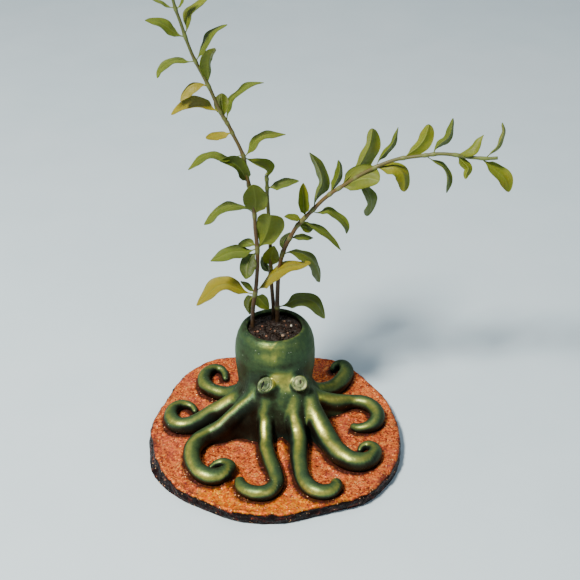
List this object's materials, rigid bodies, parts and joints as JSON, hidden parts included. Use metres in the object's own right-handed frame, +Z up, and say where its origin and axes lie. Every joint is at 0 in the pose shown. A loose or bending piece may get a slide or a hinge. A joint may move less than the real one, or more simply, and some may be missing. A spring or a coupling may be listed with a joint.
{
  "type": "octopus planter figurine",
  "caption": "Small moulded octopus planter: the hollow head holds soil and leafy stems, and curled arms lie on a rough round glittered slab.",
  "frame": {"origin": "middle of the slab's flat underside, below the centre of the round slab", "axes": "+Z up through the head, -Y the way the face looks, +X to the viewer's right when the face is seen from the front"},
  "size_m": [0.1653, 0.125, 0.2272],
  "materials": {
    "green_paint": "pearl green paint, darker teal in the shade, pale gold on the ridges",
    "glitter_slab": "copper-orange glitter over coarse grit, dark glossy purple-brown edge",
    "eye": "pale gold-green, ringed",
    "pupil": "dark gloss",
    "soil": "moist crumbly potting soil",
    "grit": "pale pumice grains",
    "stem": "green-brown bark",
    "leaf": "glossy living leaf, yellow-green"
  },
  "bodies": {
    "figurine": {"base_slab": "glitter_slab", "mantle_pot": "green_paint", "face_web": "green_paint", "arm_back_left": "green_paint", "arm_back_right": "green_paint", "arm_centre_left": "green_paint", "arm_centre_right": "green_paint", "arm_front_left": "green_paint", "arm_front_right": "green_paint", "arm_left": "green_paint", "arm_right": "green_paint", "eye_turret_left": "green_paint", "eye_turret_right": "green_paint", "eye_left": "eye", "eye_right": "eye", "pupil_left": "pupil", "pupil_right": "pupil"},
    "planting": {"root_ball": "soil", "pumice_grit": "grit", "stem_mid": "stem", "stem_right": "stem", "stem_tall": "stem", "leaves_mid_01": "leaf", "leaves_mid_02": "leaf", "leaves_right_01": "leaf", "leaves_right_02": "leaf", "leaves_right_03": "leaf", "leaves_right_04": "leaf", "leaves_right_05": "leaf", "leaves_right_06": "leaf", "leaves_right_07": "leaf", "leaves_right_08": "leaf", "leaves_right_09": "leaf", "leaves_tall_01": "leaf", "leaves_tall_02": "leaf", "leaves_tall_03": "leaf", "leaves_tall_04": "leaf", "leaves_tall_05": "leaf", "leaves_tall_06": "leaf", "leaves_tall_07": "leaf", "leaves_tall_08": "leaf", "leaves_tall_09": "leaf", "leaves_tall_10": "leaf"}
  },
  "joints": [
    {"name": "planting_lift", "type": "slide", "parent": "figurine", "child": "planting", "axis": [0, 0, 1], "range_m": [0, 0.04]}
  ]
}
